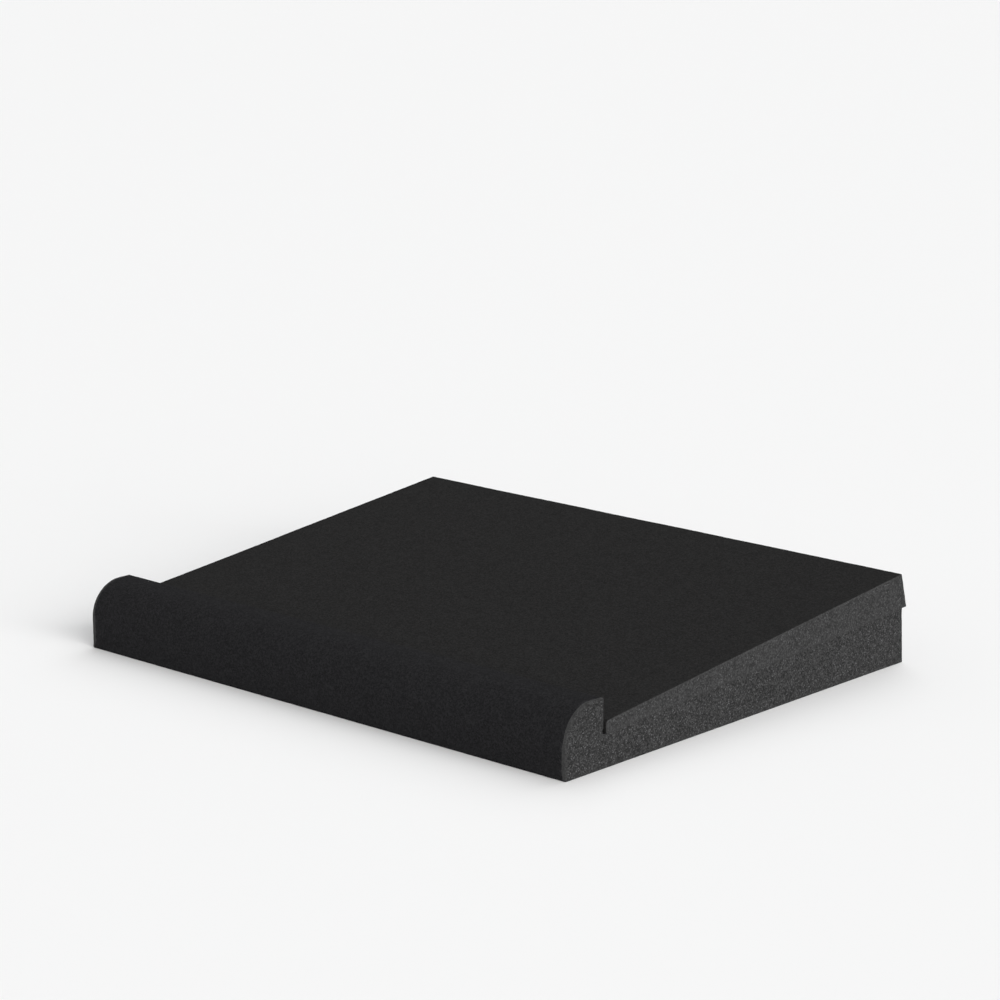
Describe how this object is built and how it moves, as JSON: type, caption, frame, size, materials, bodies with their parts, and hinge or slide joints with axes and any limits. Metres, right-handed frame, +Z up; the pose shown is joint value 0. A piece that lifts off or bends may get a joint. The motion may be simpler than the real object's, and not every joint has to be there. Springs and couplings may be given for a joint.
{
  "type": "speaker isolation pad",
  "caption": "Foam pad with a rounded front lip and a loose wedge insert, which lifts, tilts and isolates a desktop loudspeaker.",
  "frame": {"origin": "on the surface the pad stands on, under the middle of its whole width and depth", "axes": "+X along the lip to the right, +Y from the lip to the back, +Z up; the lip faces -Y"},
  "size_m": [0.382, 0.3056, 0.0554],
  "materials": {
    "base_foam": "open_cell_foam",
    "insert_foam": "open_cell_foam"
  },
  "bodies": {
    "root": {"base": "base_foam", "wedge_insert": "insert_foam"}
  },
  "joints": []
}
